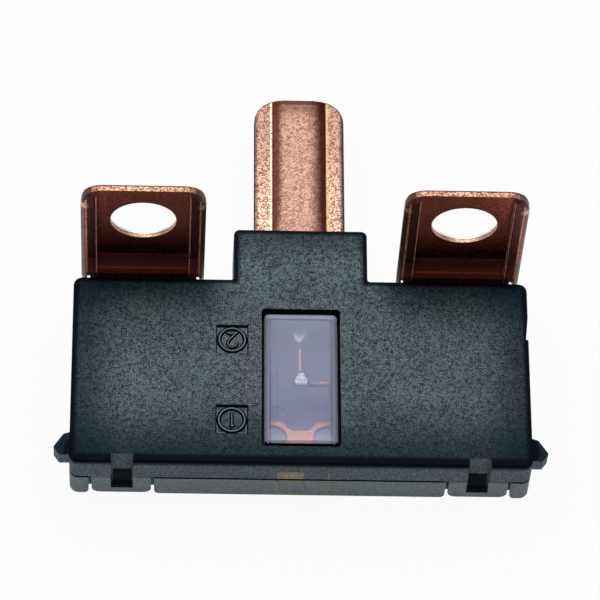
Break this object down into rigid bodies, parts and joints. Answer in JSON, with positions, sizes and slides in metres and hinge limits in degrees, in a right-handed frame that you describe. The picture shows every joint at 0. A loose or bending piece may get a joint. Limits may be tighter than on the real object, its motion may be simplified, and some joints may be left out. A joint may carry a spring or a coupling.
{
  "type": "battery fuse",
  "caption": "High-current battery fuse: black latched housing with a clear window, a copper blade terminal and bolt-down copper tabs.",
  "frame": {"origin": "middle of the part's outer box in plan, at the height of the back face that it lies on", "axes": "+X along the housing, to the right as seen from the front; +Y from the housing's lower edge towards the blade's end; +Z out of the front face, away from the back face"},
  "size_m": [0.0496, 0.0456, 0.0215],
  "materials": {
    "housing": "black glass-filled plastic, finely grained on the front, smooth on its rounded edges",
    "clear_window": "clear violet-tinted plastic",
    "frosted_window": "the same violet-tinted plastic with a frosted face",
    "copper": "bare stamped copper, satin, with fine rolling scratches and small pits",
    "tin": "bright tin that has run and set"
  },
  "bodies": {
    "root": {"front_cover": "housing", "back_cover": "housing", "window_front": "clear_window", "window_rear": "frosted_window", "fuse_element": "copper", "tin_pellet_upper": "tin", "tin_pellet_lower": "tin"}
  },
  "joints": []
}
